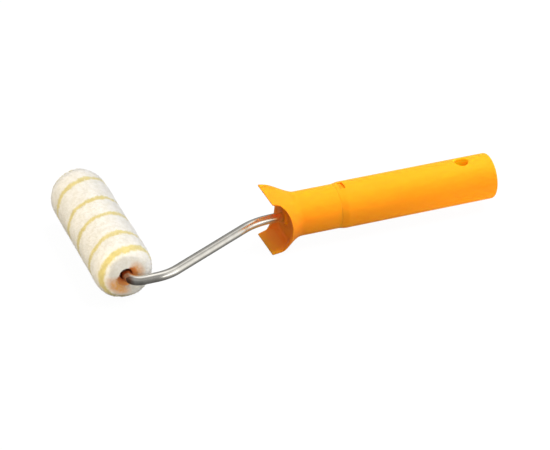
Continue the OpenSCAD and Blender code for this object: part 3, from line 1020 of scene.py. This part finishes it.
def nap_profile(step):
    """Radius, shift and arc length down the pile's outside from the near bore edge to the far
    one, evenly spaced."""
    near = [(NAP_IN, -FACE), (NAP_IN + 0.2, -FACE - 1.7), (NAP_IN + 1.2, -HALF + 0.75)]
    for i in range(1, 61):
        angle = math.pi / 2 * i / 60
        near.append((MOUTH_R + (NAP_OUT - MOUTH_R) * math.sin(angle),
                     -HALF + 0.6 + SHOULDER * (1 - math.cos(angle))))

    def far_inset(radius, shift):
        """The far half mirrors the near one, but is up to 1.6 shorter."""
        if shift < -FACE:
            return 1.6 * min(1, (-shift - FACE) / 2.0)
        return 1.6 if radius > MOUTH_R else 0

    far = [(radius, -shift - far_inset(radius, shift)) for radius, shift in reversed(near)]
    outline = np.array(near + far)
    length = np.linalg.norm(np.diff(outline, axis=0), axis=1)
    distance = np.concatenate([[0], np.cumsum(length)])
    arc = np.linspace(0, distance[-1], int(round(distance[-1] / step)) + 1)
    radius, shift = (np.interp(arc, distance, column) for column in outline.T)
    for _ in range(3):                     # ease the corners of the outline
        for values in (radius, shift):
            values[1:-1] = (values[:-2] + 2 * values[1:-1] + values[2:]) / 4
    return radius, shift, arc


PILE_R, PILE_SHIFT, PILE_ARC = nap_profile(0.42)
ARC_END = PILE_ARC[-1]
# the outline's outward normal
NORMAL_R, NORMAL_SHIFT = np.gradient(PILE_SHIFT), -np.gradient(PILE_R)
normal_length = np.hypot(NORMAL_R, NORMAL_SHIFT)
NORMAL_R, NORMAL_SHIFT = NORMAL_R / normal_length, NORMAL_SHIFT / normal_length

# arc position at the middle of each stripe's wander, how far it runs off towards the free end at
# one side, and its second wave: four stripes on the straight, one on each shoulder
STRIPES = [
    (ARC_END / 2 + 34.2, 5.4, 0.5), (ARC_END / 2 + 10.0, 3.2, 0.5),
    (ARC_END / 2 - 9.8, 2.6, 0.5), (ARC_END / 2 - 33.3, 2.0, 0.5),
    (10.5, 2.4, 0.3), (ARC_END - 6.5, 0.0, 0.3),
]


def stripe_at(arc, angle, points):
    """How yellow the pile is: 1 in the middle of a stripe, 0 well outside it."""
    best = np.zeros(len(arc))
    from_hook = np.mod(angle - 0.22 + math.pi, 2 * math.pi) - math.pi
    hook_share = np.exp(-(from_hook / 0.95) ** 2)
    for k, (middle, hook, wave) in enumerate(STRIPES):
        wander = 1.5 * np.cos(angle - 0.5) + 0.8 * np.sin(2 * angle + k * 1.7) * wave
        wander = wander + hook * hook_share
        jig = 0.75 * value_noise(points, 6.0, 40 + k) + 0.75 * value_noise(points, 1.9, 60 + k)
        half = 2.05 + 0.6 * value_noise(points, 9.0, 80 + k)
        off = np.abs(arc - middle - wander - jig)
        best = np.maximum(best, smoothstep((half + 1.0 - off) / 2.0))
    return best


def relief(points, stripe):
    """Height of the pile tips about their mean, and how deep each point lies between tufts."""
    nearest, second, own = tuft_cells(points, 2.1, 1)
    tuft = np.clip(second - nearest, 0, 0.7) / 0.7   # 0 in the gaps between tufts, 1 on a tuft
    nearest, second, _ = tuft_cells(points + 50, 1.05, 2)
    thread = np.clip(second - nearest, 0, 0.6) / 0.6
    height = 0.26 * (tuft - 0.55) + 0.12 * (thread - 0.5) + 0.15 * (own - 0.5)
    height = height + 0.24 * value_noise(points, 13.0, 3) + 0.20 * value_noise(points, 5.0, 4)
    height -= 0.10 * stripe
    deep = np.clip(1 - (0.65 * tuft + 0.35 * thread) * 1.25, 0, 1)
    return np.clip(height, -0.7, 0.62), deep


def build_nap():
    stations, segments, bore_rings = len(PILE_R), 282, 8
    turn = np.arange(segments) * 2 * math.pi / segments
    angle = np.repeat(turn, stations)
    radius, shift, arc, normal_r, normal_shift = (
        np.tile(values, segments)
        for values in (PILE_R, PILE_SHIFT, PILE_ARC, NORMAL_R, NORMAL_SHIFT))
    points = round_axle(radius, shift, angle)
    stripe = stripe_at(arc, angle, points)
    height, deep = relief(points, stripe)
    # nothing moves at the bore edges, and the mouth stays open
    fade = smoothstep(arc / 3.5) * smoothstep((ARC_END - arc) / 3.5)
    height = height * (0.25 + 0.75 * fade)
    height[(arc < 0.01) | (arc > ARC_END - 0.01)] = 0
    radius = np.maximum(radius + normal_r * height, NAP_IN + 0.02)
    outside = round_axle(radius, shift + normal_shift * height, angle)
    # the bore wall: a few plain rings back from the far edge to the near edge
    back = np.linspace(PILE_SHIFT[-1], PILE_SHIFT[0], bore_rings + 2)[1:-1]
    bore = round_axle(NAP_IN, back[None], turn[:, None])
    verts = np.concatenate([outside.reshape(segments, stations, 3), bore], 1) + AXLE_ORIGIN
    quads = grid_quads(segments, stations + bore_rings, closed=(True, True))
    ob = new_mesh("nap_pile", verts.reshape(-1, 3), [quads[:, ::-1]])
    for name, values in (("stripe", stripe), ("depth", deep)):
        plain = np.zeros((segments, bore_rings))
        attribute(ob, name, np.concatenate([values.reshape(segments, stations), plain], 1).ravel())
    return finish_piece(ob, NAP_LOOK, "refill", "nap", "nap_cover")


def tangent_round(angle):
    return np.stack([-np.sin(angle), 0 * angle, np.cos(angle)], 1)


def unit(vectors):
    return vectors / np.linalg.norm(vectors, axis=1)[:, None]


def strands(name, path, width, frame, stripe, depth, salt, ground):
    """Closed three-sided tapers along path (root, middle, tip). Their normals lean on those of
    the pile they stand in, ground, so that a mass of them shades softly."""
    root, middle, tip = path
    side, other = frame
    n = len(root)
    verts, normals = np.empty((n, 7, 3)), np.empty((n, 7, 3))
    spin = rng(salt).random(n) * 2 * math.pi
    for k in range(3):
        angle = spin + k * 2 * math.pi / 3
        off = side * np.cos(angle)[:, None] + other * np.sin(angle)[:, None]
        verts[:, k] = root + off * width[:, None]
        verts[:, 3 + k] = middle + off * (0.85 * width)[:, None]
        normals[:, k] = normals[:, 3 + k] = ground + 0.6 * off
    verts[:, 6] = tip
    normals[:, 6] = ground
    first = np.arange(n)[:, None] * 7
    quads, triangles = [], [first + np.array([[0, 2, 1]])]
    for k in range(3):
        after = (k + 1) % 3
        quads.append(first + np.array([[k, after, 3 + after, 3 + k]]))
        triangles.append(first + np.array([[3 + k, 3 + after, 6]]))
    # turn each strand whose frame is left-handed about its own axis
    left_handed = np.einsum("ij,ij->i", np.cross(side, other), tip - root) < 0
    faces = [np.concatenate(quads), np.concatenate(triangles)]
    for part in faces:
        flip = left_handed[part[:, 0] // 7]
        part[flip] = part[flip][:, ::-1]
    ob = new_mesh(name, verts.reshape(-1, 3) + AXLE_ORIGIN, faces, unit(normals.reshape(-1, 3)))
    attribute(ob, "stripe", np.full(n * 7, stripe))
    # depth drives painted shade: more at the roots, none at the tips
    depths = np.repeat(depth[:, None], 7, 1)
    depths[:, 6] = 0
    depths[:, :3] += 0.3
    attribute(ob, "depth", np.clip(depths, 0, 1).ravel())
    ob.visible_shadow = False              # loose ends this fine let the light through
    return finish_piece(ob, NAP_LOOK, "refill", "nap")


def build_fibres(name, count, salt, want_yellow):
    """Loose pile ends standing out of the surface."""
    g = rng(salt)
    # roots spread evenly by area
    pick = np.searchsorted(np.cumsum(PILE_R / PILE_R.sum()), g.random(count))
    pick = np.clip(pick, 3, len(PILE_R) - 4)
    arc = PILE_ARC[pick] + (g.random(count) - 0.5) * (PILE_ARC[1] - PILE_ARC[0])
    angle = g.random(count) * 2 * math.pi
    radius, shift, normal_r, normal_shift = (
        np.interp(arc, PILE_ARC, values)
        for values in (PILE_R, PILE_SHIFT, NORMAL_R, NORMAL_SHIFT))
    points = round_axle(radius, shift, angle)
    stripe = stripe_at(arc, angle, points)
    coin = rng(9000 + salt).random(count)
    keep = (coin < stripe) if want_yellow else (coin >= stripe)
    arc, angle, normal_r, normal_shift, points, stripe = (
        values[keep] for values in (arc, angle, normal_r, normal_shift, points, stripe))
    height, deep = relief(points, stripe)
    n = len(arc)
    g = rng(salt + 500)
    normal = round_axle(normal_r, normal_shift, angle)
    side = tangent_round(angle)
    other = np.cross(normal, side)
    # neighbouring fibres lean the same way, each with its own scatter
    lean_side = 1.4 * value_noise(points, 4.0, salt + 11) + 0.7 * g.normal(size=n)
    lean_other = 1.4 * value_noise(points, 4.0, salt + 12) + 0.7 * g.normal(size=n)
    lean = side * lean_side[:, None] + other * lean_other[:, None]
    length = 0.35 + (1.0 - 0.35) * g.random(n) ** 1.6
    mouth = smoothstep((arc - 2.0) / 5) * smoothstep((ARC_END - 2.0 - arc) / 5)
    length *= 0.4 + 0.6 * mouth
    sunk = 0.35                            # depth of the roots
    root = points + normal * (height - sunk)[:, None]
    middle = root + normal * (sunk + 0.5 * length)[:, None] + lean * (0.16 * length)[:, None]
    tip = root + normal * (sunk + 0.92 * length)[:, None] + lean * (0.62 * length)[:, None]
    width = 0.10 + (0.19 - 0.10) * g.random(n)
    return strands(name, (root, middle, tip), width, (side, other), float(want_yellow),
                   deep * 0.3, salt + 700, normal)


def build_mouth_fibres(name, count, salt):
    """Pile ends that flop inwards over the cap at the near end, thickest on one side."""
    g = rng(salt)
    angle = g.random(count) * 2 * math.pi
    cover = smoothstep((1.35 - np.abs(angle - 2.15)) / 0.8)
    cover = np.maximum(cover, 0.12 * smoothstep((1.0 - np.abs(angle - 3.9)) / 0.7))
    keep = g.random(count) < 0.30 + 0.70 * cover
    angle, cover = angle[keep], cover[keep]
    n = len(angle)
    out = g.random(n) ** 1.5
    root_r = 8.75 + 4.8 * out
    over = np.clip((root_r - MOUTH_R) / (NAP_OUT - MOUTH_R), 0, 1)
    root_shift = -HALF + 0.6 + SHOULDER * (1 - np.sqrt(1 - over ** 2)) + 0.5 * g.random(n)
    root_shift = root_shift + 0.5 * (root_r < 9.4)
    reach = 0.9 + 1.1 * g.random(n) + cover * (0.6 + 2.6 * g.random(n) ** 1.3) * (1 - out)
    tip_r = np.maximum(root_r - reach * 1.35, 4.7)
    tip_shift = np.minimum(root_shift + 0.9 * g.random(n) - 0.2,
                           np.where(tip_r < 9, -FACE - 0.45, 0))
    middle_r = 0.55 * root_r + 0.45 * tip_r
    middle_shift = np.minimum(0.5 * (root_shift + tip_shift) - 0.5, -FACE - 0.6)
    turn = 0.16 * g.normal(size=n)
    root = round_axle(root_r, root_shift, angle)
    middle = round_axle(middle_r, middle_shift, angle + 0.4 * turn)
    tip = round_axle(tip_r, tip_shift, angle + turn)
    along = unit(tip - root)
    side = tangent_round(angle)
    side = unit(side - along * np.einsum("ij,ij->i", side, along)[:, None])
    width = 0.11 + 0.08 * g.random(n)
    return strands(name, (root, middle, tip), width, (side, np.cross(along, side)), 0.0,
                   0.15 * g.random(n), salt + 1, round_axle(0.1 + 0.8 * over, -0.9, angle))


# ---------------------------------------------------------------- build all
HANDLE = [build_guard(), build_grip()]
WIRE = build_wire()
ROLLER = [build_axle_parts(), build_nap()]  # the pieces lit as the roller
for i in range(3):
    ROLLER.append(build_fibres("nap_fibres_white_%d" % (i + 1), 19000, 21 + i, False))
ROLLER.append(build_fibres("nap_fibres_yellow", 60000, 31, True))
ROLLER.append(build_mouth_fibres("nap_fibres_mouth", 14000, 41))


# ---------------------------------------------------------------- floor and world
def floor_paper():
    """White paper to the camera, with a breath of shadow; grey to soft light; to a polished
    surface, the same room as the world shows."""
    g = Look("floor_paper")
    mottle = g.noise(g.mapped(), scale=6, detail=3)
    g.shade({"Base Color": g.mix(mottle, (0.30, 0.30, 0.30), (0.34, 0.34, 0.34)),
             "Roughness": 0.95,
             "Specular IOR Level": 0.0})
    rays = g.node("LightPath").outputs
    incoming = g.split(g.geometry("Incoming"))
    pale = g.node("Emission", {"Color": (1, 1, 1), "Strength": 0.972})
    soft = g.node("BsdfDiffuse", {"Color": (0.04, 0.04, 0.04)})
    seen = g.node("AddShader", {0: pale.outputs[0], 1: soft.outputs[0]})
    direction = [g.times(axis, -1.0) for axis in incoming]
    mirror = g.node("Emission", {"Strength": surround(g, *direction)})
    others = g.node("MixShader", {0: rays["Is Glossy Ray"], 1: g.bsdf.outputs[0],
                                  2: mirror.outputs[0]})
    every = g.node("MixShader", {0: rays["Is Camera Ray"], 1: others.outputs[0],
                                 2: seen.outputs[0]})
    g.set(g.output, {"Surface": every.outputs[0]})
    return g


def build_floor():
    half_size, squares = 2600.0, 8
    height = -NAP_R - 0.75
    lines = np.linspace(-half_size, half_size, squares + 1)
    verts = [(x, y, height) for x in lines for y in lines]
    quads = grid_quads(squares + 1, squares + 1, closed=(False, False))
    floor = new_mesh("floor", verts, [quads[:, [0, 3, 2, 1]]])
    floor.data.materials.append(floor_paper().material)


def build_world():
    """A soft surround, stronger overhead and from the butt's side; white to the camera."""
    world = bpy.data.worlds.new("studio")
    scene.world = world
    world.use_nodes = True
    g = Graph(world.node_tree)
    g.tree.nodes.clear()
    x, y, z = g.split(g.node("TexCoord").outputs["Generated"])
    rays = g.node("LightPath").outputs
    glossy, camera = rays["Is Glossy Ray"], rays["Is Camera Ray"]
    ambient = g.plus(g.remap(z, span=(0.0, 1.0), to=(0.34, 0.80)),
                     g.remap(x, span=(-1.0, 1.0), to=(-0.24, 0.24)))
    light = g.plus(g.times(surround(g, x, y, z), glossy), g.times(ambient, g.rest(glossy)))
    white = 1.0
    light = g.plus(g.times(light, g.rest(camera)), g.times(camera, white))
    background = g.node("Background", {"Color": (1, 1, 1), "Strength": light})
    g.node("OutputWorld", {0: background.outputs[0]})


scene = bpy.context.scene
build_floor()
scene.view_settings.view_transform = "Standard"
scene.view_settings.look = "None"
build_world()


# ---------------------------------------------------------------- lights, in metres and watts
def collection_of(name, obs):
    collection = bpy.data.collections.new(name)
    for ob in obs:
        collection.objects.link(ob)
    return collection


def area(name, place, aim, size, power, colour=(1, 1, 1), lit=None):
    """An area light; lit names a collection and lists the only objects that receive it."""
    data = bpy.data.lights.new(name, "AREA")
    data.shape = "RECTANGLE"
    data.size, data.size_y = size
    data.energy = power
    data.color = colour
    light = bpy.data.objects.new(name, data)
    scene.collection.objects.link(light)
    light.location = place
    light.visible_glossy = False
    light.rotation_mode = "QUATERNION"
    light.rotation_quaternion = (Vector(aim) - Vector(place)).to_track_quat("-Z", "Y")
    if lit:
        light.light_linking.receiver_collection = collection_of(*lit)
    return light


# the overhead light leaves out the roller, which has a warm wash from its open side and weaker
# lights above and beside; a small card is seen by the wire alone
roller_at = (AXLE_X * MM, MID_Y * MM, 0)
others = [ob for ob in scene.objects if ob.type == "MESH" and ob not in ROLLER]
area("key", place=(0.36, 0.02, 0.98), aim=(-0.12, 0, 0), size=(0.7, 0.7), power=17.5,
     lit=("all_but_roller", others))
# a little light from under the paper at the butt
fill = area("fill", place=(0.02, -0.055, -0.07), aim=(0.0, 0, 0), size=(0.06, 0.05), power=0.062)
fill.light_linking.blocker_collection = collection_of("handle_only", HANDLE)
area("front", place=(-0.38, -0.80, 0.58), aim=(-0.06, 0, 0), size=(0.5, 0.5), power=2.9,
     lit=("handle_parts", HANDLE))
area("roller_wash", place=(-1.08, -0.40, 0.42), aim=roller_at, size=(0.8, 0.6), power=9.0,
     colour=(1.0, 0.88, 0.67), lit=("roller_only", ROLLER))
area("roller_top", place=(-0.03, -0.13, 1.10), aim=roller_at, size=(0.6, 0.6), power=4.3,
     colour=(1.0, 0.98, 0.98), lit=("roller_too", ROLLER))
area("roller_side", place=(0.50, -0.75, 0.42), aim=roller_at, size=(0.6, 0.6), power=5.4,
     colour=(0.98, 0.99, 1.0), lit=("roller_three", ROLLER))
card = area("wire_card", place=(0.10, -0.36, 0.04), aim=(-0.05, -0.02, 0.0), size=(0.30, 0.22),
            power=0.20, lit=("wire_only", [WIRE]))
card.visible_glossy = True
card.visible_camera = False


# ---------------------------------------------------------------- camera
def build_camera():
    data = bpy.data.cameras.new("cam")
    camera = bpy.data.objects.new("cam", data)
    scene.collection.objects.link(camera)
    forward = Vector((0.3032, 0.7958, -0.5242))
    forward.normalize()
    right = Vector((0.9342, -0.3567, -0.0011))
    right = (right - forward * right.dot(forward)).normalized()
    up = right.cross(forward).normalized()
    turn = Matrix((right, up, -forward)).transposed().to_4x4()
    place = Vector((-329.2236 + AXLE_X, -1164.9715 + MID_Y, 746.4885)) * MM
    camera.matrix_world = Matrix.Translation(place) @ turn
    data.sensor_width = 36.0
    data.lens = 151.5456
    data.clip_start, data.clip_end = 0.05, 20.0
    scene.camera = camera


build_camera()
